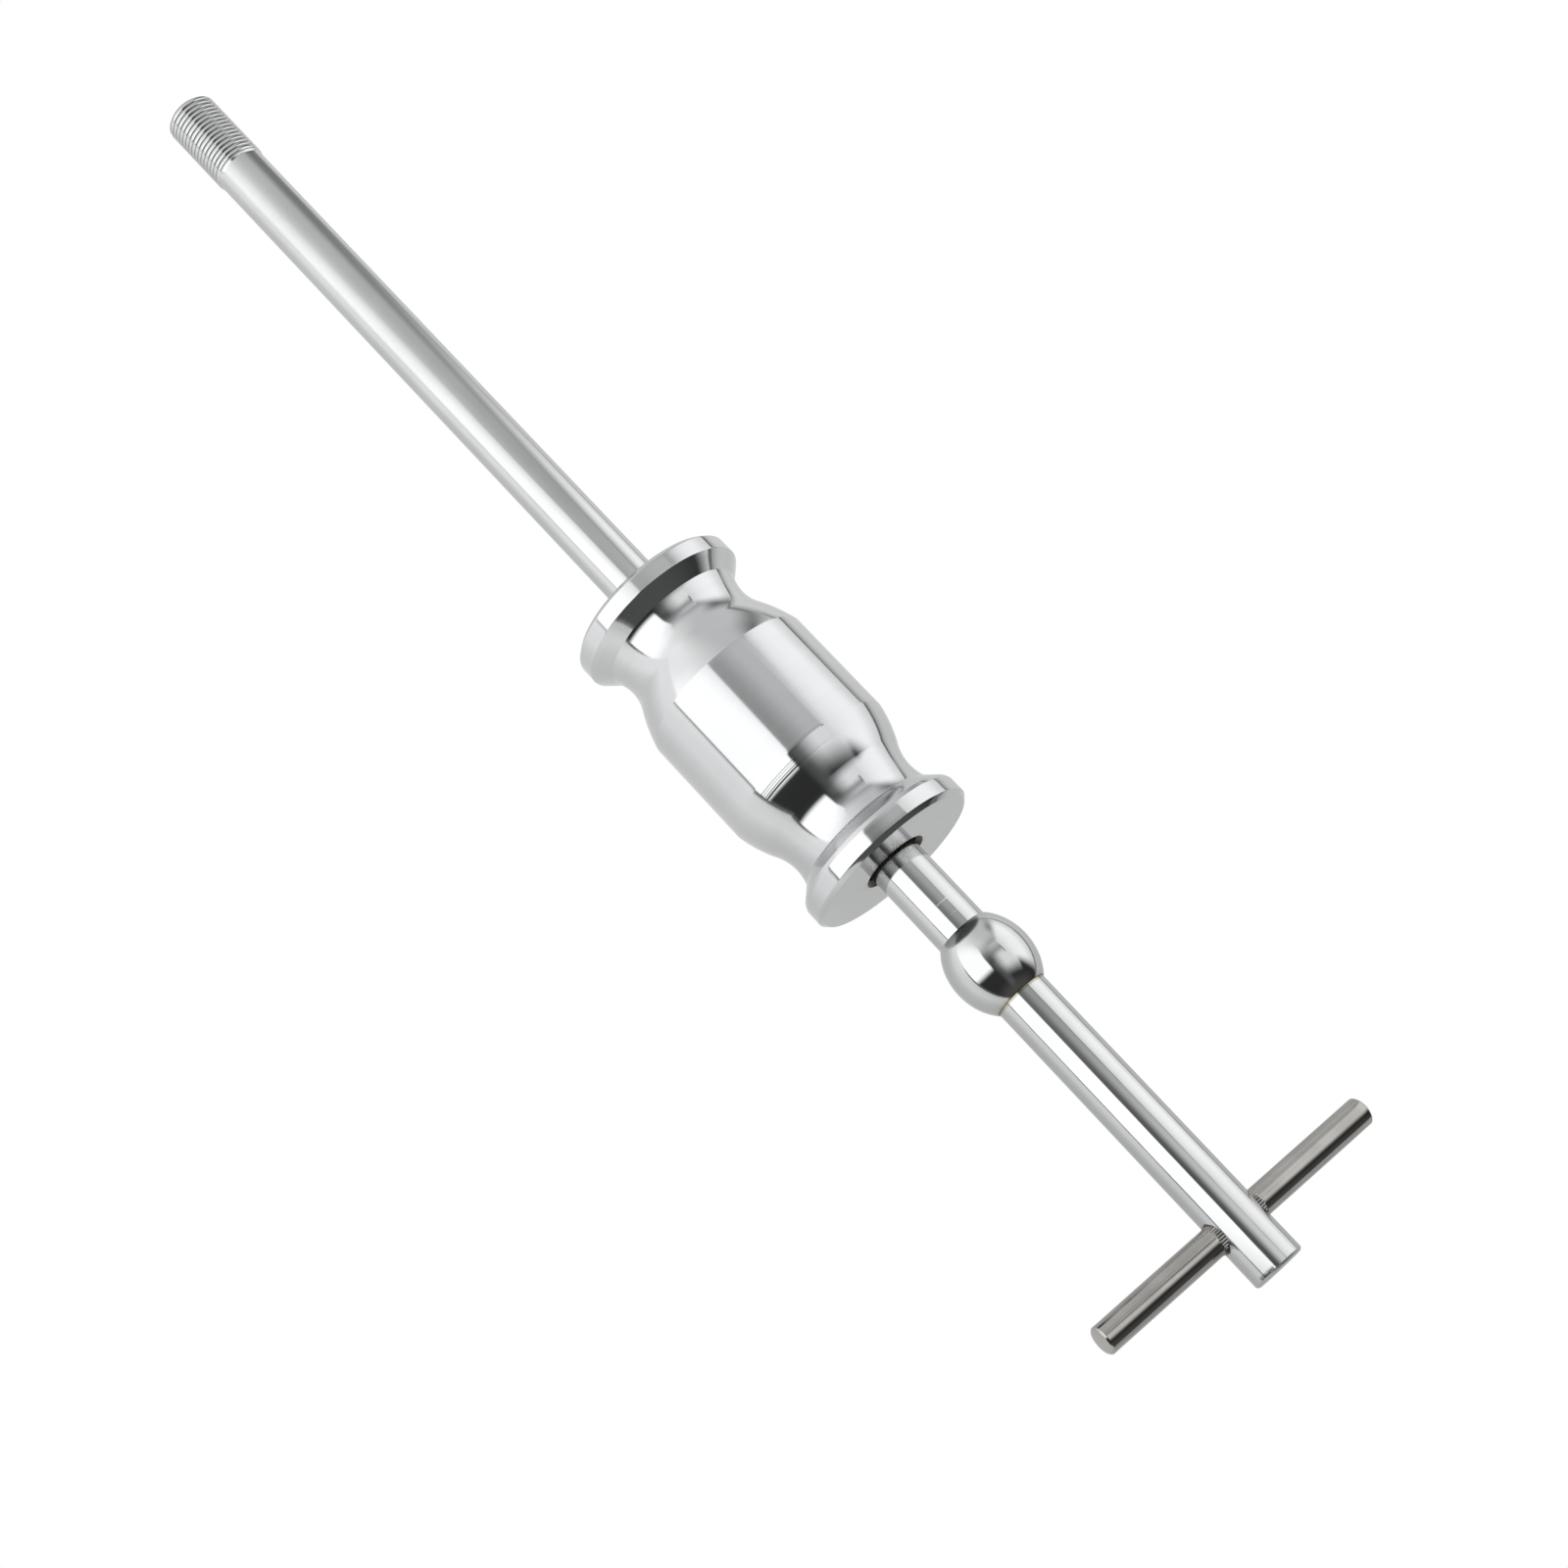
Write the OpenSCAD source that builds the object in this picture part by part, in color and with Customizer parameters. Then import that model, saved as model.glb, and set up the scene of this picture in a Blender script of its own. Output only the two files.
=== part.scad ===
// Slide hammer of a blind-hole bearing puller.
// A steel shaft with a threaded end carries a loose sliding weight. The weight
// is thrown against the ball stop, and a cross bar at the back end turns the
// shaft into the extractor and holds it while the weight strikes.
// Units are millimetres. The origin is the centre of the threaded tip's end
// face. +X runs along the shaft towards the cross bar, the cross bar lies
// along Y, and +Z is up.

/* [Shaft] */
// Overall length of the shaft
shaft_len = 454; // [450:1:520]
// Diameter of the smooth shaft
shaft_d = 15.2; // [14.8:0.1:15.6]
// Width of the small chamfer on the back end
shaft_end_chamfer = 0.6; // [0.2:0.1:1.2]

/* [Thread] */
// Major diameter of the thread on the tip
thread_d = 16; // [15.8:0.1:16.2]
// Length of the threaded end
thread_len = 26; // [18:1:40]
// Width of the lead-in chamfer on the tip
thread_lead = 1; // [0.6:0.1:1.6]

/* [Sliding weight] */
// Distance from the shaft's tip to the weight's front face
weight_at = 211.6; // [45:0.1:230]
// Diameter of the two rims
rim_d = 51.6; // [51.6:0.1:54]
// Width of the front rim, measured with its chamfer
front_rim_w = 5.9; // [5:0.1:6.6]
// Width of the rear rim, measured with its chamfer
rear_rim_w = 5.7; // [5:0.1:6.6]
// Width of the chamfer round the end faces
rim_chamfer = 1.3; // [0.6:0.1:1.6]
// Diameter of the barrel that the hand holds
barrel_d = 51.6; // [51:0.1:52]
// Diameter of the front neck
front_neck_d = 40.5; // [40:0.1:41]
// Diameter of the rear neck
rear_neck_d = 40.9; // [40.5:0.1:41.4]
// Diameter of the bore, which slides on the shaft and clears the thread
bore_d = 16.6; // [16.4:0.1:17.4]
// Diameter of the countersunk mouth of the bore, on both faces
mouth_d = 19.2; // [18.4:0.1:22]

/* [Ball stop] */
// Greatest diameter of the ball stop
ball_d = 23.8; // [22:0.1:30]
// Length of the ball stop along the shaft
ball_len = 22.4; // [20:0.1:24]
// Distance from the shaft's tip to the middle of the ball stop
ball_at = 349; // [345:1:370]

/* [Cross bar] */
// Diameter of the cross bar
bar_d = 8.2; // [7:0.1:9]
// Overall length of the cross bar
bar_len = 95; // [80:0.5:140]
// Distance from the shaft's tip to the cross bar's axis
bar_at = 438.5; // [400:0.1:440]
// How far the cross bar stands off centre, towards -Y
bar_offset = 0.4; // [-2:0.1:2]
// Width of the chamfer on both ends of the cross bar
bar_chamfer = 0.5; // [0.2:0.1:1]
// Length of the knurled middle of the bar, which grips in the cross hole
knurl_len = 16; // [14:0.2:30]
// Number of straight knurl teeth round the bar
knurl_teeth = 32; // [20:1:40]
// Height of the knurl teeth above the plain bar
knurl_rise = 0.2; // [0.1:0.05:0.3]

/* [Hidden] */
$fn = 96;

// Length of the weight: its stations along the profile are fixed below
weight_len = 100;
// Stations of the weight's profile, as [radius, distance from the front face]
rim_r = rim_d / 2;
barrel_r = barrel_d / 2;
front_neck_r = front_neck_d / 2;
rear_neck_r = rear_neck_d / 2;
bore_r = bore_d / 2;
mouth_r = mouth_d / 2;
// Front: rim edge, end of the 45 degree flank, neck arc, shoulder arc, barrel
front_flank = [front_neck_r + 1.45, 10];
front_inflection = [front_neck_r + 1.65, 22.7];
front_neck_R = 14.3;
barrel_front = [barrel_r, 33.2];
front_shoulder_R = 46;
// Rear: barrel, shoulder arc, neck arc, flank, small bevel, rim edge
barrel_rear = [barrel_r, 65.9];
rear_inflection = [rear_neck_r + 1.45, 77.1];
rear_shoulder_R = 38;
rear_flank = [rear_neck_r + 0.95, 89.2];
rear_neck_R = 16;
rear_bevel = [rim_r - 0.5, weight_len - rear_rim_w - 1.2];

// The cross hole is a tight fit on the plain bar, so the knurl bites into it
cross_hole_d = bar_d + 0.1;

// Centre of an arc of radius R through p and q, to the left of the way from
// p to q when side is 1 and to the right when it is -1
function arc_centre(p, q, R, side) =
    let (d = q - p, L = norm(d), u = [-d[1], d[0]] / L)
    (p + q) / 2 + side * u * sqrt(R * R - L * L / 4);

// Unit normal of the way from p to q, to its right
function right_of(p, q) = let (d = q - p) [d[1], -d[0]] / norm(d);

// The segment between the chord p to q and the arc that bows to the chord's
// right: material that a convex shoulder adds
module bow_out(p, q, R) {
    o = right_of(p, q);
    intersection() {
        translate(arc_centre(p, q, R, 1)) circle(r = R, $fn = 720);
        polygon([p, q, q + 3 * o, p + 3 * o]);
    }
}

// The segment on the chord's left: material that a concave neck takes away
module bow_in(p, q, R) {
    o = right_of(p, q);
    intersection() {
        translate(arc_centre(p, q, R, -1)) circle(r = R, $fn = 720);
        polygon([p, q, q - 3 * o, p - 3 * o]);
    }
}

// Lay a turned shape, drawn as [radius, station], along +X
module turned() {
    rotate([0, 90, 0]) rotate_extrude($fn = 180) children();
}

// Cylinder or cone along +X from station a to station b
module bar_x(a, b, r1, r2) {
    translate([a, 0, 0]) rotate([0, 90, 0]) cylinder(h = b - a, r1 = r1, r2 = r2);
}

// Threaded tip, smooth shaft, chamfered back end and the cross hole, which is
// countersunk on its -Y side, where the bar is driven in. The threaded tip is
// a plain cylinder at the thread's major diameter.
module shaft() {
    color([0.80, 0.81, 0.82])
    difference() {
        union() {
            bar_x(0, thread_lead, thread_d / 2 - thread_lead, thread_d / 2);
            bar_x(thread_lead, thread_len, thread_d / 2, thread_d / 2);
            bar_x(thread_len, shaft_len - shaft_end_chamfer, shaft_d / 2, shaft_d / 2);
            bar_x(shaft_len - shaft_end_chamfer, shaft_len,
                  shaft_d / 2, shaft_d / 2 - shaft_end_chamfer);
        }
        translate([bar_at, 0, 0]) {
            rotate([90, 0, 0])
                cylinder(h = shaft_d + 4, r = cross_hole_d / 2, center = true);
            rotate([90, 0, 0])
                translate([0, 0, shaft_d / 2 - 1])
                    cylinder(h = 3, r1 = cross_hole_d / 2, r2 = cross_hole_d / 2 + 3);
        }
    }
}

// Half section of the weight: straight runs first, then its four arcs
module weight_section() {
    difference() {
        polygon([
            [mouth_r, 0],
            [rim_r - rim_chamfer, 0],
            [rim_r, rim_chamfer],
            [rim_r, front_rim_w],
            front_flank,
            front_inflection,
            barrel_front,
            barrel_rear,
            rear_inflection,
            rear_flank,
            rear_bevel,
            [rim_r, weight_len - rear_rim_w],
            [rim_r, weight_len - rim_chamfer],
            [rim_r - rim_chamfer, weight_len],
            [mouth_r, weight_len],
            [bore_r, weight_len - (mouth_r - bore_r)],
            [bore_r, mouth_r - bore_r]
        ]);
        bow_in(front_flank, front_inflection, front_neck_R);
        bow_in(rear_inflection, rear_flank, rear_neck_R);
    }
    bow_out(front_inflection, barrel_front, front_shoulder_R);
    bow_out(barrel_rear, rear_inflection, rear_shoulder_R);
}

module slide_weight() {
    color([0.76, 0.77, 0.78])
    translate([weight_at, 0, 0]) turned() weight_section();
}

// The olive-shaped stop, an ellipsoid of revolution cut flat at both ends
ball_a = ball_len / 2 / sqrt(1 - pow((shaft_d / 2 + 0.25) / (ball_d / 2), 2));
ball_steps = 24;
module ball_stop() {
    color([0.72, 0.73, 0.74])
    translate([ball_at, 0, 0]) turned()
        polygon(concat(
            [[shaft_d / 2, ball_len / 2], [shaft_d / 2, -ball_len / 2]],
            [for (i = [0 : ball_steps])
                let (u = -ball_len / 2 + ball_len * i / ball_steps)
                [ball_d / 2 * sqrt(1 - pow(u / ball_a, 2)), u]]));
}

// The cross bar: plain ends, chamfered, and a knurled middle
module tommy_bar() {
    r = bar_d / 2;
    color([0.52, 0.51, 0.49])
    translate([bar_at, 0, 0]) rotate([90, 0, 0]) {
        translate([0, 0, bar_offset - bar_len / 2]) {
            cylinder(h = bar_chamfer, r1 = r - bar_chamfer, r2 = r);
            translate([0, 0, bar_chamfer]) cylinder(h = bar_len - 2 * bar_chamfer, r = r);
            translate([0, 0, bar_len - bar_chamfer]) cylinder(h = bar_chamfer, r1 = r, r2 = r - bar_chamfer);
        }
        translate([0, 0, bar_offset]) linear_extrude(height = knurl_len, center = true)
            polygon([for (i = [0 : 2 * knurl_teeth - 1])
                let (a = 180 * i / knurl_teeth, k = i % 2 == 0 ? r + knurl_rise : r - 0.1)
                [k * cos(a), k * sin(a)]]);
    }
}

shaft();
slide_weight();
ball_stop();
tommy_bar();
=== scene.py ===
import math

import bmesh
import bpy
import numpy as np
from mathutils import Matrix, Vector


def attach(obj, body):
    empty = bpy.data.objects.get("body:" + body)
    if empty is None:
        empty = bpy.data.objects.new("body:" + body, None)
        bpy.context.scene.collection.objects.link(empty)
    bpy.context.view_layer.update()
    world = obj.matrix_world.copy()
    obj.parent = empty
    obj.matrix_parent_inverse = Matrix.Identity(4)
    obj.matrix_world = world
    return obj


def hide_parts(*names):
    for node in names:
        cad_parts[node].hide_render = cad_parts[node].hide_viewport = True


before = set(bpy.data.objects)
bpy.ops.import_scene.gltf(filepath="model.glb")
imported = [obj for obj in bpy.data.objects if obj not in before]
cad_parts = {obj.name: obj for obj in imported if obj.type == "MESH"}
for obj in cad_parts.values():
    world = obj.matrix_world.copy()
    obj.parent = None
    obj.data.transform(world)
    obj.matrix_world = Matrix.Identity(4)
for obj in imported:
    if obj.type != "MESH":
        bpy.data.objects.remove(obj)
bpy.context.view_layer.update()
MM = 0.001

# ---------------------------------------------------------------- camera
# Position, axes and focal length in the part's own frame.
RIGHT = Vector((0.65650077, 0.74550826, 0.1149964))
UP = Vector((-0.69873347, 0.54357023, 0.4650838))
BACK = Vector((0.28421519, -0.38567971, 0.87776585))
cam_data = bpy.data.cameras.new("camera")
cam_data.sensor_width = 36.0
cam_data.lens = 2726.6 * 36.0 / 1600.0
cam_data.clip_start = 0.02
cam_data.clip_end = 200.0
camera = bpy.data.objects.new("camera", cam_data)
bpy.context.scene.collection.objects.link(camera)
turn = Matrix((RIGHT, UP, BACK)).transposed()
camera.matrix_world = Matrix.Translation((0.4774552, -0.2810668, 0.6215275)) @ turn.to_4x4()
bpy.context.scene.camera = camera


# ---------------------------------------------------------------- meshes
def new_object(name, mesh):
    obj = bpy.data.objects.new(name, mesh)
    bpy.context.scene.collection.objects.link(obj)
    return obj


def grid_faces(rows, cols, close_rows=False):
    """Quads of a grid that wraps round in its columns, and in its rows if asked."""
    i = np.arange(rows if close_rows else rows - 1)[:, None]
    j = np.arange(cols)[None, :]
    a = i * cols + j
    b = i * cols + (j + 1) % cols
    i2 = (i + 1) % rows
    c = i2 * cols + (j + 1) % cols
    d = i2 * cols + j
    return np.stack([a, b, c, d], -1).reshape(-1, 4)


def mesh_of(name, verts, faces):
    mesh = bpy.data.meshes.new(name)
    mesh.from_pydata(np.asarray(verts, float).tolist(), [], [list(map(int, f)) for f in faces])
    mesh.update()
    return mesh


def outward(mesh):
    """Turns the faces outward if the closed mesh is inside out."""
    bm = bmesh.new()
    bm.from_mesh(mesh)
    if bm.calc_volume(signed=True) < 0:
        bmesh.ops.reverse_faces(bm, faces=bm.faces[:])
    bm.to_mesh(mesh)
    bm.free()
    mesh.update()


def smooth_all(mesh):
    mesh.polygons.foreach_set("use_smooth", np.ones(len(mesh.polygons), bool))
    mesh.update()


def arc(p, q, radius, side, step=0.04):
    """Points of the arc from p to q, without p. side 1 has the centre on the left of the way from p to q."""
    p, q = np.array(p, float), np.array(q, float)
    d = q - p
    length = np.hypot(*d)
    left = np.array([-d[1], d[0]]) / length
    c = (p + q) / 2 + side * left * math.sqrt(radius * radius - length * length / 4)
    a0, a1 = math.atan2(*(p - c)[::-1]), math.atan2(*(q - c)[::-1])
    while a1 - a0 > math.pi:
        a1 -= 2 * math.pi
    while a1 - a0 < -math.pi:
        a1 += 2 * math.pi
    n = max(2, int(abs(a1 - a0) * radius / step))
    a = np.linspace(a0, a1, n + 1)[1:]
    return [(c[0] + radius * math.cos(t), c[1] + radius * math.sin(t)) for t in a]


def rounded(points, sigma=0.05, step=0.02, turn_deg=5.0, longest=2.0, closed=True):
    """Breaks the corners of a drawn profile like a worn tool edge, and samples it closely where it bends.
    Returns points and their exact normals."""
    p = np.array(points + ([points[0]] if closed else []), float)
    seg = np.hypot(*np.diff(p, axis=0).T)
    keep = np.r_[True, seg > 1e-9]
    p = p[keep]
    seg = np.hypot(*np.diff(p, axis=0).T)
    at = np.r_[0, np.cumsum(seg)]
    n = int(at[-1] / step)
    s = np.arange(n) * at[-1] / n if closed else np.linspace(0, at[-1], n)
    q = np.stack([np.interp(s, at, p[:, k]) for k in (0, 1)], -1)
    half = int(4 * sigma / step)
    w = np.exp(-0.5 * (np.arange(-half, half + 1) * step / sigma) ** 2)
    w /= w.sum()
    if closed:
        wide = np.concatenate([q[-half:], q, q[:half]])
    else:
        wide = np.concatenate([2 * q[0] - q[half:0:-1], q, 2 * q[-1] - q[-2 : -half - 2 : -1]])
    q = np.stack([np.convolve(wide[:, k], w, "valid") for k in (0, 1)], -1)
    if closed:
        t = np.roll(q, -1, 0) - np.roll(q, 1, 0)
    else:
        t = np.gradient(q, axis=0)
    t /= np.hypot(*t.T)[:, None]
    angle = np.unwrap(np.arctan2(t[:, 1], t[:, 0]))
    bend = np.abs(np.diff(angle, append=angle[-1:]))
    cost = np.cumsum(bend / math.radians(turn_deg) + step / longest)
    marks = np.arange(0, int(cost[-1])) if closed else np.linspace(0, cost[-1], int(cost[-1]) + 2)
    pick = np.unique(np.clip(np.searchsorted(cost, marks), 0, len(q) - 1))
    return q[pick], np.stack([-t[pick, 1], t[pick, 0]], -1)


def lathe(name, profile, normals, segments, axis="X"):
    """A closed solid turned from a closed profile of [station, radius] in millimetres, with exact shading normals."""
    th = np.arange(segments) * 2 * math.pi / segments
    c, s = np.cos(th), np.sin(th)
    x, r = profile[:, :1], profile[:, 1:]
    along = np.repeat(x, segments, 1)
    v = np.stack([along, r * c, r * s], -1).reshape(-1, 3) * MM
    m = np.stack([np.repeat(normals[:, :1], segments, 1), normals[:, 1:] * c, normals[:, 1:] * s], -1).reshape(-1, 3)
    if axis == "Y":
        v = v[:, [1, 0, 2]] * np.array([1, 1, -1])
        m = m[:, [1, 0, 2]] * np.array([1, 1, -1])
    mesh = mesh_of(name, v, grid_faces(len(profile), segments, True))
    outward(mesh)
    smooth_all(mesh)
    face = np.zeros(len(mesh.polygons) * 3)
    mesh.polygons.foreach_get("normal", face)
    first = np.zeros(len(mesh.polygons), int)
    mesh.polygons.foreach_get("loop_start", first)
    loops = np.zeros(len(mesh.loops), int)
    mesh.loops.foreach_get("vertex_index", loops)
    if (face.reshape(-1, 3) * m[loops[first]]).sum() < 0:
        m = -m
    mesh.normals_split_custom_set_from_vertices(m.tolist())
    mesh.update()
    return mesh


# ---------------------------------------------------------------- materials
class Metal:
    """Builds one metal's node tree."""

    def __init__(self, name):
        self.mat = bpy.data.materials.new(name)
        self.mat.use_nodes = True
        self.nt = self.mat.node_tree
        self.nt.nodes.clear()
        out = self.nt.nodes.new("ShaderNodeOutputMaterial")
        self.bsdf = self.nt.nodes.new("ShaderNodeBsdfPrincipled")
        self.nt.links.new(self.bsdf.outputs["BSDF"], out.inputs["Surface"])
        self.bsdf.inputs["Metallic"].default_value = 1.0
        at = self.nt.nodes.new("ShaderNodeTexCoord").outputs["Object"]
        self.at = at
        sep = self.nt.nodes.new("ShaderNodeSeparateXYZ")
        self.nt.links.new(at, sep.inputs[0])
        self.x, self.y, self.z = sep.outputs

    def put(self, socket, value):
        if hasattr(value, "links") or hasattr(value, "is_output"):
            self.nt.links.new(value, socket)
        else:
            socket.default_value = value

    def math(self, op, a, b=0.0, c=None, clamp=False):
        n = self.nt.nodes.new("ShaderNodeMath")
        n.operation = op
        n.use_clamp = clamp
        self.put(n.inputs[0], a)
        self.put(n.inputs[1], b)
        if c is not None:
            self.put(n.inputs[2], c)
        return n.outputs[0]

    def ramp(self, value, a, b, lo=0.0, hi=1.0):
        """Smoothly from lo at a to hi at b."""
        n = self.nt.nodes.new("ShaderNodeMapRange")
        n.interpolation_type = "SMOOTHSTEP"
        self.put(n.inputs["Value"], value)
        for key, v in (("From Min", a), ("From Max", b), ("To Min", lo), ("To Max", hi)):
            n.inputs[key].default_value = v
        return n.outputs[0]

    def vector(self, x, y, z):
        n = self.nt.nodes.new("ShaderNodeCombineXYZ")
        for k, v in enumerate((x, y, z)):
            self.put(n.inputs[k], v)
        return n.outputs[0]

    def noise(self, vector, scale=1.0, detail=2.0, rough=0.5):
        n = self.nt.nodes.new("ShaderNodeTexNoise")
        self.put(n.inputs["Vector"], vector)
        n.inputs["Scale"].default_value = scale
        n.inputs["Detail"].default_value = detail
        n.inputs["Roughness"].default_value = rough
        return n.outputs["Fac"]

    def mix(self, fac, a, b):
        n = self.nt.nodes.new("ShaderNodeMix")
        n.data_type = "RGBA"
        self.put(n.inputs["Factor"], fac)
        for key, v in ((6, a), (7, b)):
            self.put(n.inputs[key], (*v, 1.0) if isinstance(v, tuple) else v)
        return n.outputs[2]

    def radius(self, a, b):
        return self.math("SQRT", self.math("ADD", self.math("MULTIPLY", a, a), self.math("MULTIPLY", b, b)))

    def bump(self, height, distance, normal=None):
        n = self.nt.nodes.new("ShaderNodeBump")
        n.inputs["Strength"].default_value = 1.0
        n.inputs["Distance"].default_value = distance
        self.put(n.inputs["Height"], height)
        if normal is not None:
            self.put(n.inputs["Normal"], normal)
        return n.outputs[0]

    def finish(self, colour, roughness, normal=None):
        self.put(self.bsdf.inputs["Base Color"], colour)
        self.put(self.bsdf.inputs["Roughness"], roughness)
        if normal is not None:
            self.put(self.bsdf.inputs["Normal"], normal)
        return self.mat


def streaks(m, along, a, b, long_scale, round_scale):
    """Noise drawn out along a bar: a and b are the two cross coordinates."""
    r = m.radius(a, b)
    ua, ub = m.math("DIVIDE", a, r), m.math("DIVIDE", b, r)
    v = m.vector(m.math("MULTIPLY", along, long_scale), m.math("MULTIPLY", ua, round_scale), m.math("MULTIPLY", ub, round_scale))
    return m.noise(v, 1.0, 3.0, 0.6)


def shaft_material():
    m = Metal("shaft_chrome")
    r = m.radius(m.y, m.z)
    satin = m.ramp(m.x, 0.06, 0.215, 1.0, 0.0)
    cloud = m.noise(m.at, 45.0, 3.0, 0.55)
    grain = m.noise(m.at, 3200.0, 2.0, 0.6)
    drawn = streaks(m, m.x, m.y, m.z, 40.0, 26.0)
    fine = streaks(m, m.x, m.y, m.z, 160.0, 70.0)
    threaded = m.ramp(m.x, 0.0262, 0.0268, 1.0, 0.0)
    grooved = m.ramp(m.x, 0.0238, 0.0247, 1.0, 0.0)
    # painted shade in the thread's roots
    root = m.math("MULTIPLY", grooved, m.ramp(r, 0.00770, 0.00784, 1.0, 0.0))
    # painted shade in the thread's grooves, the same all the way round
    groove_shade = m.math("MULTIPLY", grooved, m.ramp(r, 0.00776, 0.00793, 1.0, 0.0))
    colour = m.mix(m.ramp(cloud, 0.3, 0.7), (0.500, 0.508, 0.511), (0.528, 0.536, 0.538))
    colour = m.mix(m.math("MULTIPLY", satin, m.ramp(grain, 0.35, 0.7, 0.0, 0.25)), colour, (0.42, 0.428, 0.428))
    colour = m.mix(m.math("MULTIPLY", root, 0.40), colour, (0.20, 0.20, 0.185))
    colour = m.mix(m.math("MULTIPLY", groove_shade, 0.45), colour, (0.045, 0.044, 0.038))
    seam = m.math("MULTIPLY", m.ramp(m.x, 0.3600, 0.3603, 0.0, 1.0), m.ramp(m.x, 0.3605, 0.3611, 1.0, 0.0))
    colour = m.mix(m.math("MULTIPLY", seam, 0.7), colour, (0.24, 0.20, 0.11))
    # painted shade and painted reflection of the dark mouth: a dark ring on the shaft where it leaves the weight's rear
    # mouth, with a few grease specks beside it
    speck = m.noise(m.at, 2600.0, 2.0, 0.6)
    mouth_shade = m.math("MULTIPLY", m.ramp(m.x, 0.3100, 0.3106), m.ramp(m.x, 0.3118, 0.3130, 1.0, 0.0))
    spots = m.math("MULTIPLY", m.math("MULTIPLY", m.ramp(m.x, 0.3100, 0.3106), m.ramp(m.x, 0.3120, 0.3156, 1.0, 0.0)), m.ramp(speck, 0.48, 0.58))
    colour = m.mix(m.math("MULTIPLY", mouth_shade, 0.65), colour, (0.06, 0.055, 0.042))
    colour = m.mix(m.math("MULTIPLY", spots, 0.6), colour, (0.10, 0.095, 0.08))
    # two fine bright marks across the top of the shaft, behind the weight
    tick = m.math("ADD", m.ramp(m.math("ABSOLUTE", m.math("SUBTRACT", m.x, 0.3295)), 0.00006, 0.00014, 1.0, 0.0), m.ramp(m.math("ABSOLUTE", m.math("SUBTRACT", m.x, 0.3337)), 0.00005, 0.00012, 0.35, 0.0))
    tick = m.math("MULTIPLY", tick, m.math("MULTIPLY", m.ramp(m.y, 0.0001, 0.0006, 1.0, 0.0), m.math("MULTIPLY", m.ramp(m.z, 0.0, 0.001), m.ramp(m.y, -0.0034, -0.0029))))
    colour = m.mix(m.math("MULTIPLY", tick, 0.8), colour, (0.9, 0.9, 0.9))
    # a dark mark on the edge of the back end
    end_dark_mark = m.math("MULTIPLY", m.ramp(m.x, 0.4520, 0.4530), m.math("MULTIPLY", m.ramp(m.y, -0.0042, -0.0036, 1.0, 0.0), m.ramp(m.z, 0.0022, 0.0034)))
    end_dark_mark = m.math("MULTIPLY", end_dark_mark, m.math("MULTIPLY", m.ramp(m.x, 0.45335, 0.45345, 1.0, 0.0), m.ramp(speck, 0.30, 0.42)))
    colour = m.mix(m.math("MULTIPLY", end_dark_mark, 0.92), colour, (0.045, 0.045, 0.042))
    bevel = m.ramp(m.x, 0.45338, 0.45342)
    rough = m.math("ADD", m.math("MULTIPLY", satin, 0.18), m.ramp(fine, 0.3, 0.75, 0.030, 0.065))
    rough = m.math("ADD", rough, m.math("MULTIPLY", m.math("ADD", spots, m.math("ADD", tick, bevel)), 0.3))
    rough = m.math("ADD", rough, m.math("MULTIPLY", threaded, -0.10))
    rough = m.math("ADD", rough, m.math("MULTIPLY", satin, m.ramp(grain, 0.3, 0.7, -0.03, 0.04)), clamp=True)
    n = m.bump(drawn, 0.0000035)
    n = m.bump(m.math("MULTIPLY", grain, m.math("ADD", m.math("MULTIPLY", satin, 0.9), 0.05)), 0.0000035, n)
    return m.finish(colour, rough, n)


def weight_material():
    m = Metal("weight_steel")
    r = m.radius(m.y, m.z)
    q = m.math("ADD", m.x, m.math("MULTIPLY", r, 1.7))
    turned = m.noise(m.vector(m.math("MULTIPLY", q, 2600.0), 0.0, 0.0), 1.0, 3.0, 0.65)
    wide = m.noise(m.vector(m.math("MULTIPLY", q, 420.0), 0.0, 0.0), 1.0, 2.0, 0.5)
    cloud = m.noise(m.at, 38.0, 3.0, 0.55)
    scratch = m.noise(m.vector(m.math("MULTIPLY", m.x, 900.0), m.math("MULTIPLY", m.y, 90.0), m.math("MULTIPLY", m.z, 90.0)), 1.0, 4.0, 0.7)
    colour = m.mix(m.ramp(cloud, 0.3, 0.7), (0.500, 0.509, 0.514), (0.528, 0.537, 0.541))
    colour = m.mix(m.ramp(wide, 0.45, 0.8, 0.0, 0.3), colour, (0.47, 0.478, 0.481))
    # faint oil stain round the rear mouth of the bore
    near = m.math("MULTIPLY", m.ramp(r, 0.0098, 0.0122, 1.0, 0.0), m.ramp(m.x, 0.3085, 0.3105, 0.0, 1.0))
    patchy = m.math("MULTIPLY", near, m.ramp(m.noise(m.at, 260.0, 2.0, 0.5), 0.38, 0.6))
    colour = m.mix(m.math("MULTIPLY", patchy, 0.55), colour, (0.46, 0.41, 0.30))
    # painted shade in the bore and its mouth chamfers, nearly black
    bore = m.ramp(r, 0.0096, 0.0098, 1.0, 0.0)
    colour = m.mix(m.math("MULTIPLY", bore, 0.96), colour, (0.020, 0.019, 0.017))
    rough = m.math("ADD", m.ramp(turned, 0.3, 0.75, 0.055, 0.115), m.ramp(scratch, 0.55, 0.8, 0.0, 0.05))
    rough = m.math("ADD", rough, m.math("MULTIPLY", bore, 0.30))
    n = m.bump(turned, 0.0000036)
    n = m.bump(wide, 0.000005, n)
    return m.finish(colour, rough, n)


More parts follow.
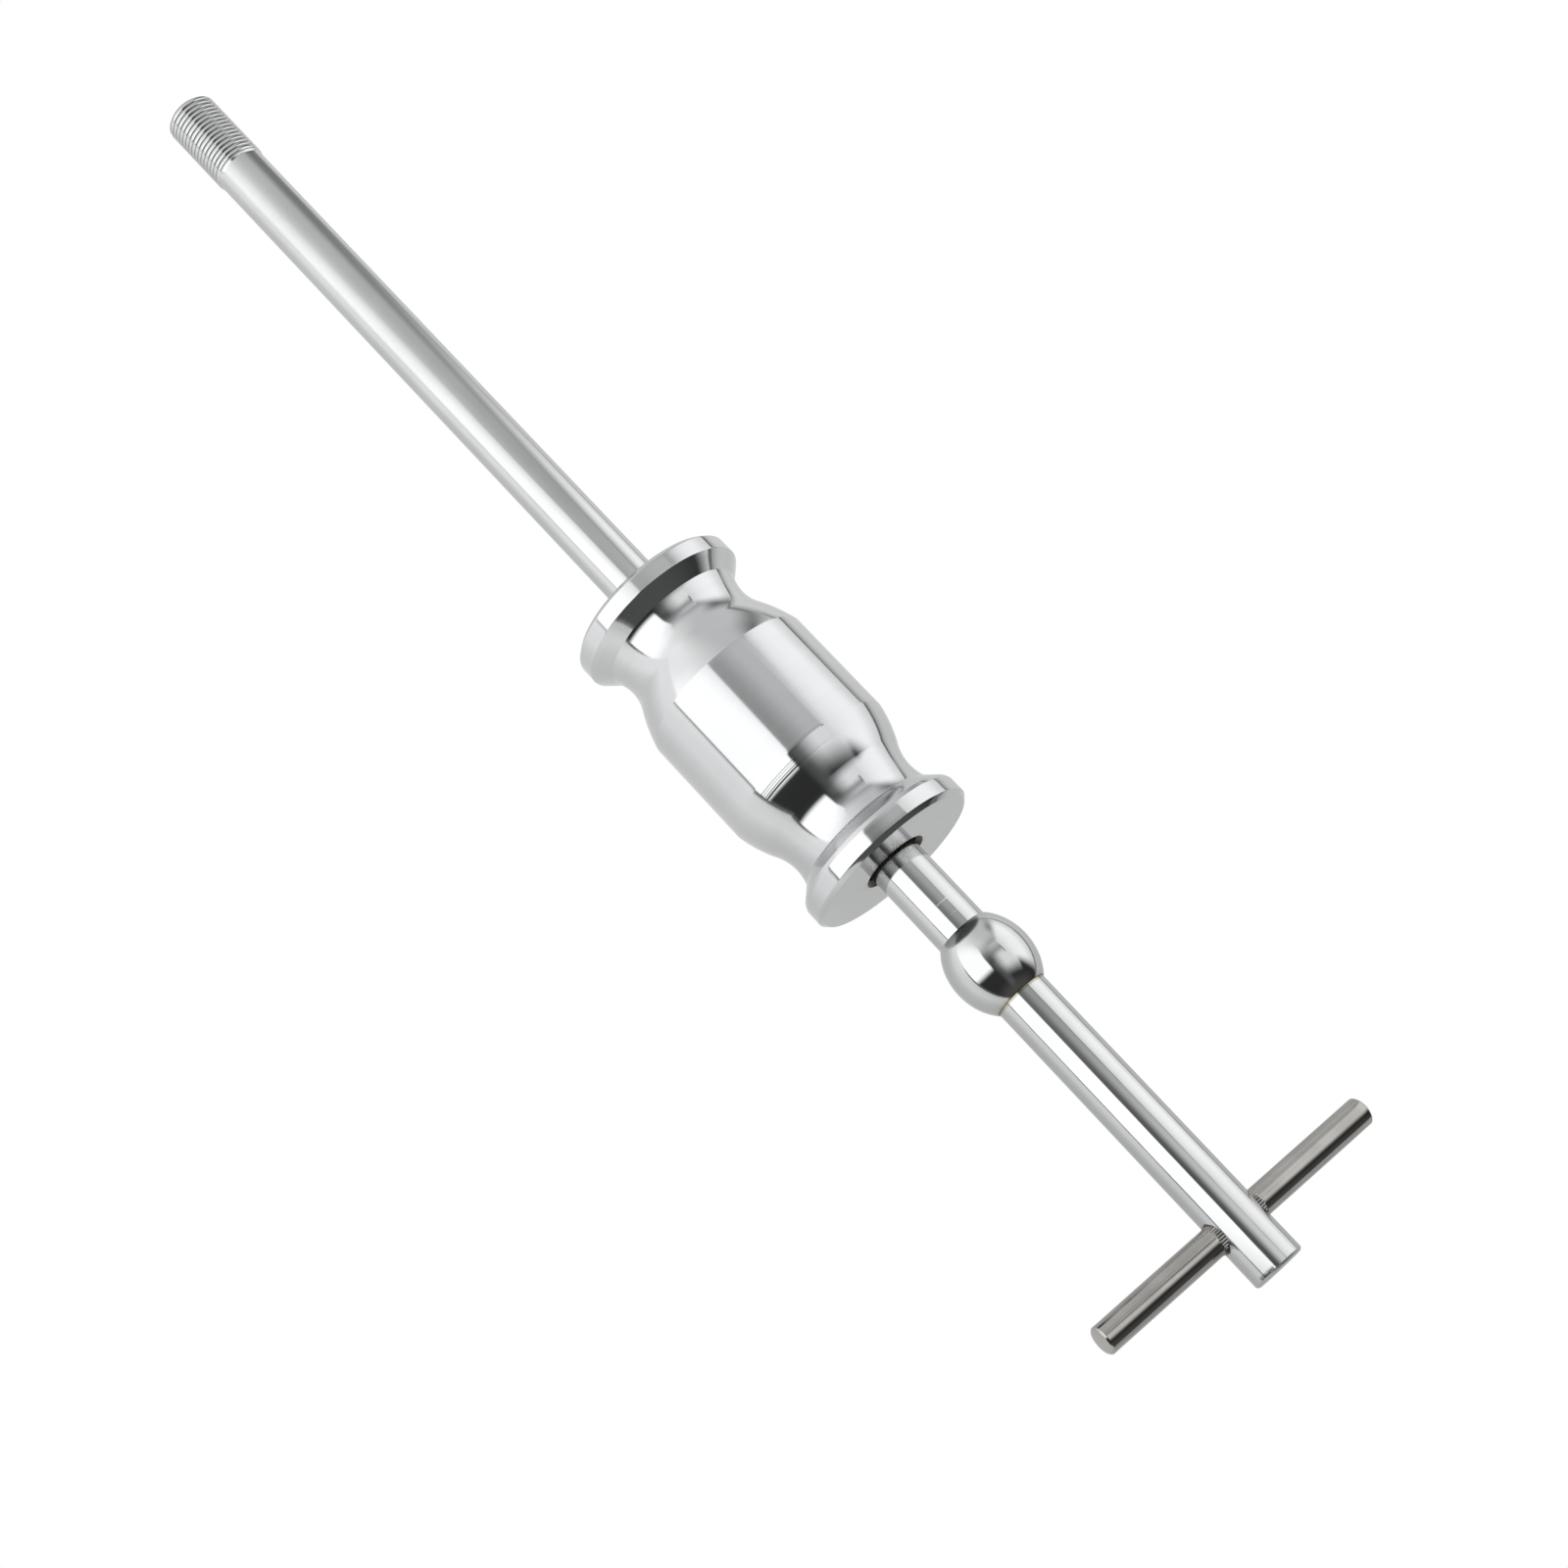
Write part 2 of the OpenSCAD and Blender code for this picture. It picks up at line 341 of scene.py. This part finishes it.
def ball_material():
    m = Metal("stop_steel")
    r = m.radius(m.y, m.z)
    q = m.math("ADD", m.x, m.math("MULTIPLY", r, 1.7))
    turned = m.noise(m.vector(m.math("MULTIPLY", q, 2200.0), 0.0, 0.0), 1.0, 3.0, 0.65)
    cloud = m.noise(m.at, 90.0, 3.0, 0.55)
    mark = m.noise(m.at, 700.0, 4.0, 0.7)
    colour = m.mix(m.ramp(cloud, 0.3, 0.7), (0.490, 0.499, 0.502), (0.525, 0.533, 0.535))
    # warm rim and a thin dark seam where the ball ends on the shaft
    warm = m.math("MULTIPLY", m.ramp(r, 0.0078, 0.0090, 1.0, 0.0), m.ramp(m.x, 0.3580, 0.3598, 0.0, 1.0))
    colour = m.mix(m.math("MULTIPLY", warm, m.ramp(mark, 0.35, 0.65, 0.2, 0.8)), colour, (0.40, 0.35, 0.23))
    seam = m.math("MULTIPLY", m.ramp(r, 0.0078, 0.0081, 1.0, 0.0), m.ramp(m.x, 0.3594, 0.3598, 0.0, 1.0))
    colour = m.mix(m.math("MULTIPLY", seam, 0.85), colour, (0.05, 0.045, 0.035))
    front = m.math("MULTIPLY", m.ramp(r, 0.0076, 0.0082, 1.0, 0.0), m.ramp(m.x, 0.3385, 0.3395, 1.0, 0.0))
    colour = m.mix(m.math("MULTIPLY", front, 0.5), colour, (0.25, 0.24, 0.22))
    # the front is dulled by the weight's blows
    struck = m.ramp(m.x, 0.3385, 0.3440, 0.13, 0.0)
    rough = m.math("ADD", struck, m.math("ADD", m.ramp(turned, 0.3, 0.75, 0.055, 0.095), m.ramp(mark, 0.55, 0.8, 0.0, 0.06)))
    n = m.bump(turned, 0.0000022)
    return m.finish(colour, rough, m.bump(m.noise(m.at, 1500.0, 3.0, 0.6), 0.0000026, n))


def bar_material():
    m = Metal("bar_steel")
    off = m.math("SUBTRACT", m.x, 0.4385)
    drawn = streaks(m, m.y, off, m.z, 50.0, 18.0)
    cloud = m.noise(m.at, 120.0, 3.0, 0.55)
    r = m.radius(off, m.z)
    colour = m.mix(m.ramp(cloud, 0.3, 0.7), (0.345, 0.338, 0.318), (0.400, 0.394, 0.376))
    colour = m.mix(m.ramp(drawn, 0.5, 0.8, 0.0, 0.35), colour, (0.31, 0.30, 0.275))
    # painted shade in the roots of the knurl's teeth
    from_middle = m.math("ABSOLUTE", m.math("ADD", m.y, 0.0004))
    knurl_root_shade = m.math("MULTIPLY", m.ramp(from_middle, 0.0079, 0.0082, 1.0, 0.0), m.ramp(r, 0.0040, 0.00422, 1.0, 0.0))
    colour = m.mix(m.math("MULTIPLY", knurl_root_shade, 0.7), colour, (0.08, 0.075, 0.065))
    rough = m.ramp(drawn, 0.3, 0.75, 0.07, 0.14)
    return m.finish(colour, rough, m.bump(drawn, 0.0000025))


# ---------------------------------------------------------------- shaft
R_SHAFT, L_SHAFT = 7.6, 454.0
PITCH, R_THREAD, DEPTH, L_THREAD = 1.5, 8.0, 0.30, 26.0
COLS = 240


def thread_radius(th, x):
    """Surface radius of the right-handed 1.5 mm pitch thread, shallower than a standard one, its lead-in chamfer and its run-out."""
    ph = (x / PITCH - th / (2 * math.pi) + 0.8) % 1.0
    a = np.abs(ph - 0.5) * PITCH  # distance from the middle of a crest
    groove = np.exp(-((a - PITCH / 2) / 0.24) ** 2)
    crown = 0.05 * (a / (PITCH / 2)) ** 2
    r = R_THREAD - crown - (DEPTH - 0.05) * groove
    fade = np.clip((L_THREAD - x) / 1.5, 0, 1)
    fade = fade * fade * (3 - 2 * fade)
    r = R_SHAFT + (r - R_SHAFT) * fade
    return np.minimum(r, R_THREAD - 1.0 + x)


def shaft_mesh():
    th = np.arange(COLS) * 2 * math.pi / COLS
    stations, radii = [], []
    for r in (0.6, 2.5, 4.5, 6.3, 6.94):
        stations.append(0.0)
        radii.append(np.full(COLS, r))
    xs = np.r_[0.02, np.arange(1, 278) * L_THREAD / 277.0]
    for x in xs:
        stations.append(x)
        radii.append(thread_radius(th, x))
    xs = np.r_[26.05, 26.2, 27.0, np.arange(32, 400, 6.0), 400.0]
    for x in xs:
        stations.append(x)
        radii.append(np.full(COLS, R_SHAFT))
    st, rad = np.array(stations), np.array(radii)
    v = np.stack([np.repeat(st[:, None], COLS, 1), rad * np.cos(th), rad * np.sin(th)], -1).reshape(-1, 3)
    faces = grid_faces(len(st), COLS).tolist()
    centre = len(v)
    v = np.vstack([v, [[0, 0, 0]]])
    faces += [[centre, (j + 1) % COLS, j] for j in range(COLS)]

    # back end, as its own closed solid first, so that the cross hole can be cut
    end = [(400.0, R_SHAFT)]
    end += [(x, R_SHAFT) for x in np.arange(406, 453, 3.0)]
    end += [(453.3, R_SHAFT), (453.38, 7.59), (453.44, 7.55), (453.92, 7.07), (453.97, 7.0), (454.0, 6.9), (454.0, 4.0), (454.0, 1.0)]
    e = np.array(end)
    ve = np.stack([np.repeat(e[:, :1], COLS, 1), e[:, 1:] * np.cos(th), e[:, 1:] * np.sin(th)], -1).reshape(-1, 3)
    fe = grid_faces(len(e), COLS).tolist()
    tail = len(ve)
    ve = np.vstack([ve, [[454.0, 0, 0]]])
    last = (len(e) - 1) * COLS
    fe += [[tail, last + j, last + (j + 1) % COLS] for j in range(COLS)]
    fe.append(list(range(COLS)))
    back = mesh_of("shaft_back", ve * MM, fe)
    outward(back)
    back_obj = new_object("shaft_back", back)

    cut = np.array([(-10.0, 7.55), (-6.6, 4.15), (-3.0, 4.15), (3.0, 4.15), (6.6, 4.15), (10.0, 4.15)])
    n = 144
    tc = np.arange(n) * 2 * math.pi / n
    vc = np.stack([438.5 + cut[:, 1:] * np.cos(tc), np.repeat(cut[:, :1], n, 1), cut[:, 1:] * np.sin(tc)], -1).reshape(-1, 3)
    fc = grid_faces(len(cut), n).tolist() + [list(range(n)), [5 * n + j for j in range(n)][::-1]]
    cutter = mesh_of("cutter", vc * MM, fc)
    bm = bmesh.new()
    bm.from_mesh(cutter)
    bmesh.ops.recalc_face_normals(bm, faces=bm.faces[:])
    bm.to_mesh(cutter)
    bm.free()
    outward(cutter)
    cutter_obj = new_object("cutter", cutter)
    mod = back_obj.modifiers.new("hole", "BOOLEAN")
    mod.operation, mod.solver, mod.object = "DIFFERENCE", "EXACT", cutter_obj
    bpy.context.view_layer.update()
    cut_mesh = bpy.data.meshes.new_from_object(back_obj.evaluated_get(bpy.context.evaluated_depsgraph_get()))
    for o in (back_obj, cutter_obj):
        bpy.data.objects.remove(o)

    bm = bmesh.new()
    bm.from_mesh(mesh_of("front", v * MM, faces))
    bm.from_mesh(cut_mesh)
    caps = [f for f in bm.faces if all(abs(w.co.x - 0.4) < 1e-6 for w in f.verts)]
    bmesh.ops.delete(bm, geom=caps, context="FACES_ONLY")
    ring = [w for w in bm.verts if abs(w.co.x - 0.4) < 1e-6]
    bmesh.ops.remove_doubles(bm, verts=ring, dist=2e-6)
    # slivers that the cut leaves at the hole's rim
    at_hole = [w for w in bm.verts if w.co.x > 0.42]
    bmesh.ops.remove_doubles(bm, verts=at_hole, dist=2e-6)
    bmesh.ops.dissolve_degenerate(bm, dist=2e-6, edges=[e for e in bm.edges if e.verts[0].co.x > 0.42])
    bmesh.ops.triangulate(bm, faces=[f for f in bm.faces if len(f.verts) > 4])
    bmesh.ops.recalc_face_normals(bm, faces=bm.faces[:])
    mesh = bpy.data.meshes.new("shaft_detail")
    bm.to_mesh(mesh)
    bm.free()
    outward(mesh)
    smooth_all(mesh)

    # exact normals where the surface is known, the mesh's own on the thread
    nl = len(mesh.loops)
    co = np.zeros(len(mesh.vertices) * 3)
    mesh.vertices.foreach_get("co", co)
    co = co.reshape(-1, 3) * 1000
    vn = np.zeros(len(mesh.vertices) * 3)
    mesh.vertex_normals.foreach_get("vector", vn)
    vn = vn.reshape(-1, 3)
    vi = np.zeros(nl, int)
    mesh.loops.foreach_get("vertex_index", vi)
    np_ = len(mesh.polygons)
    start, count, fnorm = np.zeros(np_, int), np.zeros(np_, int), np.zeros(np_ * 3)
    mesh.polygons.foreach_get("loop_start", start)
    mesh.polygons.foreach_get("loop_total", count)
    mesh.polygons.foreach_get("normal", fnorm)
    fnorm = fnorm.reshape(-1, 3)
    owner = np.repeat(np.arange(np_), count)
    p, f = co[vi], fnorm[owner]
    r = np.hypot(p[:, 1], p[:, 2])
    safe = np.maximum(r, 1e-6)[:, None]
    radial = np.c_[np.zeros(nl), p[:, 1:] / safe]
    out = vn[vi].copy()
    plain = (p[:, 0] > 26.03) & (np.abs(r - R_SHAFT) < 0.02) & ((f * radial).sum(1) > 0.998)
    out[plain] = radial[plain]
    flat = np.abs(f[:, 0]) > 0.9995
    out[flat] = np.c_[np.sign(f[flat, 0]), np.zeros(flat.sum()), np.zeros(flat.sum())]
    bevel = (p[:, 0] > 453.4) & (np.abs(f[:, 0] - math.sqrt(0.5)) < 0.02)
    out[bevel] = radial[bevel] * math.sqrt(0.5) + np.array([math.sqrt(0.5), 0, 0])
    hx, hz = p[:, 0] - 438.5, p[:, 2]
    hr = np.hypot(hx, hz)
    inward = -np.c_[hx, np.zeros(nl), hz] / np.maximum(hr, 1e-6)[:, None]
    near = (np.abs(hx) < 6.5) & (r < R_SHAFT + 0.01)
    wall = near & (np.abs(hr - 4.15) < 0.02) & ((f * inward).sum(1) > 0.99)
    out[wall] = inward[wall]
    sy = np.sign(p[:, 1])
    cone_n = (inward + np.c_[np.zeros(nl), sy, np.zeros(nl)]) * math.sqrt(0.5)
    cone = near & ((f * cone_n).sum(1) > 0.99)
    out[cone] = cone_n[cone]
    mesh.normals_split_custom_set(out.tolist())
    mesh.update()
    return mesh


# ---------------------------------------------------------------- weight
def weight_profile():
    rim, front, rear = 25.8, 20.25, 20.45
    flank_f, infl_f = (10.0, front + 1.45), (22.7, front + 1.65)
    barrel_f, barrel_r = (33.2, rim), (65.9, rim)
    infl_r, flank_r = (77.1, rear + 1.45), (89.2, rear + 0.95)
    pts = [(1.3, 8.3), (0.0, 9.6), (0.0, rim - 1.3), (1.3, rim), (5.9, rim), flank_f]
    pts += arc(flank_f, infl_f, 14.3, 1)
    pts += arc(infl_f, barrel_f, 46.0, -1)
    pts += [barrel_r]
    # three faint feed marks left on the rear shoulder, each 0.012 mm deep
    shoulder = arc(barrel_r, infl_r, 38.0, -1)
    worn = []
    for x, r in shoulder:
        dip = sum(0.012 * math.exp(-((x - c) / 0.09) ** 2) for c in (68.15, 68.75, 69.4, 70.1))
        worn.append((x, r - dip))
    pts += worn
    pts += arc(infl_r, flank_r, 16.0, 1)
    pts += [(93.1, rim - 0.5), (94.3, rim), (98.7, rim), (100.0, rim - 1.3), (100.0, 9.6), (98.7, 8.3)]
    return [(211.6 + x, r) for x, r in pts]


# ---------------------------------------------------------------- ball
def ball_profile():
    a = 11.2 / math.sqrt(1 - (7.85 / 11.9) ** 2)
    u = np.linspace(-11.2, 11.2, 160)
    pts = [(349.0 - 11.2, 7.59)]
    pts += [(349.0 + t, 11.9 * math.sqrt(1 - (t / a) ** 2)) for t in u]
    pts += [(349.0 + 11.2, 7.59)]
    return pts


# ---------------------------------------------------------------- cross bar
def bar_mesh():
    teeth, per = 32, 8
    cols = teeth * per
    th = np.arange(cols) * 2 * math.pi / cols
    lo, hi = -47.9, 47.1
    r0 = 4.1
    prof = [(lo, 0.8), (lo, 2.4), (lo, 3.52), (lo + 0.02, 3.6), (lo + 0.08, 3.68), (lo + 0.42, 4.02), (lo + 0.5, 4.08), (lo + 0.62, r0)]
    prof += [(y, r0) for y in np.arange(lo + 2, -9.3, 3.0)]
    prof += [(y, r0) for y in np.linspace(-9.0, 8.2, 73)]
    prof += [(y, r0) for y in np.arange(11.0, hi - 1.5, 3.0)]
    prof += [(hi - 0.62, r0), (hi - 0.5, 4.08), (hi - 0.42, 4.02), (hi - 0.08, 3.68), (hi - 0.02, 3.6), (hi, 3.52), (hi, 2.4), (hi, 0.8)]
    prof = np.array(prof)
    wave = np.abs((np.arange(cols) % per) / per - 0.5) * 2  # 1 at a crest, 0 at a root
    tooth = -0.1 + 0.3 * np.clip(wave * 1.15 - 0.05, 0, 1)
    y = prof[:, :1]
    win = np.clip((8.1 - np.abs(y + 0.4)) / 0.35, 0, 1)
    r = prof[:, 1:] + win * tooth[None, :]
    v = np.stack([438.5 + r * np.cos(th), np.repeat(y, cols, 1), r * np.sin(th)], -1).reshape(-1, 3)
    faces = grid_faces(len(prof), cols).tolist()
    n = len(v)
    v = np.vstack([v, [[438.5, lo, 0], [438.5, hi, 0]]])
    last = (len(prof) - 1) * cols
    faces += [[n, (j + 1) % cols, j] for j in range(cols)]
    faces += [[n + 1, last + j, last + (j + 1) % cols] for j in range(cols)]
    mesh = mesh_of("bar_detail", v * MM, faces)
    bm = bmesh.new()
    bm.from_mesh(mesh)
    bmesh.ops.recalc_face_normals(bm, faces=bm.faces[:])
    bm.to_mesh(mesh)
    bm.free()
    outward(mesh)
    smooth_all(mesh)
    return mesh


shaft = new_object("shaft_detail", shaft_mesh())
shaft.data.materials.append(shaft_material())
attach(shaft, "rod")
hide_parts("shaft")

prof, norm = rounded(weight_profile())
weight = new_object("weight_detail", lathe("weight_detail", prof, norm, 288))
weight.data.materials.append(weight_material())
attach(weight, "weight")
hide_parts("slide_weight")

prof, norm = rounded(ball_profile(), sigma=0.05, turn_deg=3.0, longest=0.8)
ball = new_object("ball_detail", lathe("ball_detail", prof, norm, 256))
ball.data.materials.append(ball_material())
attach(ball, "rod")
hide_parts("ball_stop")

bar = new_object("bar_detail", bar_mesh())
bar.data.materials.append(bar_material())
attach(bar, "rod")
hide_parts("tommy_bar")


# ---------------------------------------------------------------- studio
class Light(Metal):
    """Node helpers for the stage: a material or world that only gives off light."""

    def __init__(self, name, tree):
        self.nt = tree
        tree.nodes.clear()

    def node(self, kind):
        return self.nt.nodes.new(kind)

    def inside(self, value, lo, soft_lo, hi, soft_hi):
        """1 between lo and hi, with soft edges of the given half widths."""
        return self.math("MULTIPLY", self.ramp(value, lo - soft_lo, lo + soft_lo), self.ramp(value, hi - soft_hi, hi + soft_hi, 1.0, 0.0))

    def path(self, seen, other, out):
        """The first shader where the camera looks straight at it, the other one for all other light."""
        p = self.node("ShaderNodeLightPath")
        pick = self.node("ShaderNodeMixShader")
        self.nt.links.new(p.outputs["Is Camera Ray"], pick.inputs[0])
        self.nt.links.new(other.outputs[0], pick.inputs[1])
        self.nt.links.new(seen.outputs[0], pick.inputs[2])
        self.nt.links.new(pick.outputs[0], out.inputs["Surface"])


def light_panel(name, origin, across, up, lo, hi, build):
    """A flat light from lo to hi in its own (across, up) metres. build gives its mask and its brightness."""
    mesh = mesh_of(name, [(lo[0], lo[1], 0), (hi[0], lo[1], 0), (hi[0], hi[1], 0), (lo[0], hi[1], 0)], [[0, 1, 2, 3]])
    obj = new_object(name, mesh)
    across, up = Vector(across).normalized(), Vector(up).normalized()
    axes = Matrix((across, up, across.cross(up))).transposed()
    obj.matrix_world = Matrix.Translation(origin) @ axes.to_4x4()
    mat = bpy.data.materials.new(name)
    mat.use_nodes = True
    k = Light(name, mat.node_tree)
    out = k.node("ShaderNodeOutputMaterial")
    sep = k.node("ShaderNodeSeparateXYZ")
    k.nt.links.new(k.node("ShaderNodeTexCoord").outputs["Object"], sep.inputs[0])
    mask, bright = build(k, sep.outputs[0], sep.outputs[1])
    glow = k.node("ShaderNodeEmission")
    k.put(glow.inputs["Strength"], bright)
    clear = k.node("ShaderNodeBsdfTransparent")
    both = k.node("ShaderNodeMixShader")
    k.nt.links.new(mask, both.inputs[0])
    k.nt.links.new(clear.outputs[0], both.inputs[1])
    k.nt.links.new(glow.outputs[0], both.inputs[2])
    k.nt.links.new(both.outputs[0], out.inputs["Surface"])
    mesh.materials.append(mat)
    obj.visible_camera = False
    return obj


def softbox(k, u, v):
    """Key light: even, with crisp top and bottom edges, a top that drops a little towards the cross bar, and a far end that fades on a slant."""
    slant = k.math("SUBTRACT", u, k.math("MULTIPLY", v, 0.64))
    m = k.math("MULTIPLY", k.ramp(slant, -0.34, 0.34), k.ramp(u, 1.05, 1.21, 1.0, 0.0))
    rise = k.math("SUBTRACT", k.ramp(u, 0.42, 0.55, 0.0, 0.060), k.ramp(u, 0.50, 0.85, 0.0, 0.052))
    top = k.ramp(k.math("SUBTRACT", v, rise), 0.775, 0.815, 1.0, 0.0)
    return k.math("MULTIPLY", m, k.math("MULTIPLY", top, k.ramp(v, -0.012, 0.012))), 1.95


def wall(k, u, v):
    """Fill: a lit wall, brightest a little above the table, with soft ends."""
    m = k.math("MULTIPLY", k.inside(u, 0.0, 0.14, 0.80, 0.14), k.inside(v, 0.0, 0.004, 1.29, 0.05))
    return m, k.math("SUBTRACT", k.ramp(v, 0.0, 0.28, 1.20, 1.66), k.ramp(v, 0.28, 1.30, 0.0, 0.44))


FLOOR_Z = -0.02590
light_panel("softbox", (-0.69, -0.81, FLOOR_Z + 0.082), (1.0, -0.093, 0.0), (0.06, 0.64, 0.77), (-0.36, -0.05), (1.26, 0.95), softbox)
light_panel("fill_wall", (-0.17, 0.58, FLOOR_Z + 0.006), (1.0, 0.0, 0.0), (0.0, 0.0, 1.0), (-0.16, -0.004), (0.94, 1.46), wall)

floor_mesh = mesh_of("floor", [(-30, -30, FLOOR_Z), (30, -30, FLOOR_Z), (30, 30, FLOOR_Z), (-30, 30, FLOOR_Z)], [[0, 1, 2, 3]])
floor = new_object("floor", floor_mesh)
fm = bpy.data.materials.new("floor_painted_light")
fm.use_nodes = True
k = Light("floor_painted_light", fm.node_tree)
out = k.node("ShaderNodeOutputMaterial")
sep = k.node("ShaderNodeSeparateXYZ")
k.nt.links.new(k.node("ShaderNodeTexCoord").outputs["Object"], sep.inputs[0])
# The floor glows though it is no lamp. Where the camera looks straight at it, it is plain white. For all other light
# its glow is painted light, with a painted shadow under the object and on its far side, and darker painted patches
# further off.
floor_glow = k.math("ADD", k.ramp(sep.outputs[1], -0.10, 0.0, 1.16, 0.60), k.ramp(sep.outputs[1], 0.03, 0.12, 0.0, 0.20))
floor_glow = k.math("SUBTRACT", floor_glow, k.ramp(sep.outputs[1], 0.13, 0.27, 0.0, 0.28))
floor_glow = k.math("MULTIPLY", floor_glow, k.ramp(sep.outputs[0], 0.06, 0.60, 1.0, 0.62))
far = k.math("MULTIPLY", k.ramp(sep.outputs[1], 0.30, 0.33), k.ramp(sep.outputs[0], -0.10, 0.05))
far = k.math("MULTIPLY", far, k.math("SUBTRACT", 1.0, k.math("MULTIPLY", k.inside(sep.outputs[0], 0.12, 0.03, 0.22, 0.03), 0.55)))
near = k.math("MULTIPLY", k.ramp(sep.outputs[1], -1.3, -1.1, 1.0, 0.0), k.ramp(sep.outputs[0], -0.35, 0.10))
shade = k.math("MULTIPLY", k.ramp(sep.outputs[1], 0.16, 0.34), k.ramp(sep.outputs[0], -0.30, -0.16, 1.0, 0.0))
darker = k.math("ADD", far, k.math("ADD", k.math("MULTIPLY", near, 0.7), k.math("MULTIPLY", shade, 0.75)))
floor_glow = k.math("MULTIPLY", floor_glow, k.math("SUBTRACT", 1.0, darker))
floor_glow = k.math("ADD", floor_glow, 0.22)
seen = k.node("ShaderNodeEmission")
lit = k.node("ShaderNodeEmission")
k.put(lit.inputs["Strength"], floor_glow)
k.path(seen, lit, out)
floor_mesh.materials.append(fm)

# The room: pale grey past the thread's end, nearly dark past the cross bar
world = bpy.data.worlds.new("studio")
bpy.context.scene.world = world
world.use_nodes = True
k = Light("studio", world.node_tree)
out = k.node("ShaderNodeOutputWorld")
sep = k.node("ShaderNodeSeparateXYZ")
k.nt.links.new(k.node("ShaderNodeTexCoord").outputs["Generated"], sep.inputs[0])
ahead = sep.outputs[0]
lean = k.math("DEGREES", k.math("ARCTAN2", k.math("MULTIPLY", sep.outputs[1], -1.0), sep.outputs[2]))
pale = k.ramp(lean, -20.0, 65.0, 0.92, 1.51)
# the darker corner beside the lit wall, and the gap under the softbox
corner = k.math("MULTIPLY", k.inside(ahead, -0.72, 0.10, -0.43, 0.12), k.inside(lean, -110.0, 5.0, -44.0, 18.0))
gap = k.math("MULTIPLY", k.ramp(lean, 84.0, 87.0), k.ramp(ahead, -0.42, -0.20))
pale = k.math("MULTIPLY", pale, k.math("SUBTRACT", 1.0, k.math("ADD", k.math("MULTIPLY", corner, 0.72), k.math("MULTIPLY", gap, 0.55))))
dark = k.math("ADD", k.ramp(ahead, 0.60, 0.95, 0.045, 0.12), k.math("MULTIPLY", gap, 0.12))
room = k.math("ADD", k.math("MULTIPLY", pale, k.ramp(ahead, -0.635, -0.06, 1.0, 0.0)), k.math("MULTIPLY", dark, k.ramp(ahead, -0.635, -0.06)))
# the ceiling between the wall and the softbox: dim over the weight, then dark
room = k.math("ADD", room, k.math("MULTIPLY", k.math("MULTIPLY", k.inside(ahead, -0.375, 0.05, -0.20, 0.06), k.inside(lean, -28.0, 3.0, 4.0, 18.0)), 0.46))
room = k.math("ADD", room, k.math("MULTIPLY", k.math("MULTIPLY", k.inside(ahead, -0.24, 0.08, 0.03, 0.11), k.ramp(lean, -12.0, 12.0)), 0.11))
# the lit part of the ceiling, over the ball and the cross bar. It meets the wall, but for a thin dark joint near the weight
reach = k.math("MAXIMUM", k.ramp(lean, -25.0, -21.0), k.math("MULTIPLY", k.ramp(lean, -46.0, -36.0), k.ramp(ahead, -0.06, 0.06)))
lit_ceiling = k.math("MULTIPLY", k.inside(ahead, -0.13, 0.17, 0.44, 0.21), k.math("MULTIPLY", reach, k.ramp(lean, -10.0, 20.0, 1.0, 0.0)))
room = k.math("ADD", room, k.math("MULTIPLY", k.math("SUBTRACT", 1.28, room), lit_ceiling))
# its dim edge, on the softbox's side
edge = k.math("MULTIPLY", k.inside(lean, 3.0, 7.0, 25.0, 7.0), k.inside(ahead, 0.05, 0.08, 0.80, 0.10))
room = k.math("ADD", room, k.math("MULTIPLY", edge, k.ramp(ahead, 0.22, 0.42, 0.14, 0.085)))
seen = k.node("ShaderNodeBackground")
seen.inputs["Color"].default_value = (1, 1, 1, 1)
lit = k.node("ShaderNodeBackground")
lit.inputs["Color"].default_value = (1, 1, 1, 1)
k.put(lit.inputs["Strength"], room)
k.path(seen, lit, out)

view = bpy.context.scene.view_settings
view.view_transform = "Standard"
view.look = "None"
view.exposure = 0.0
view.gamma = 1.0
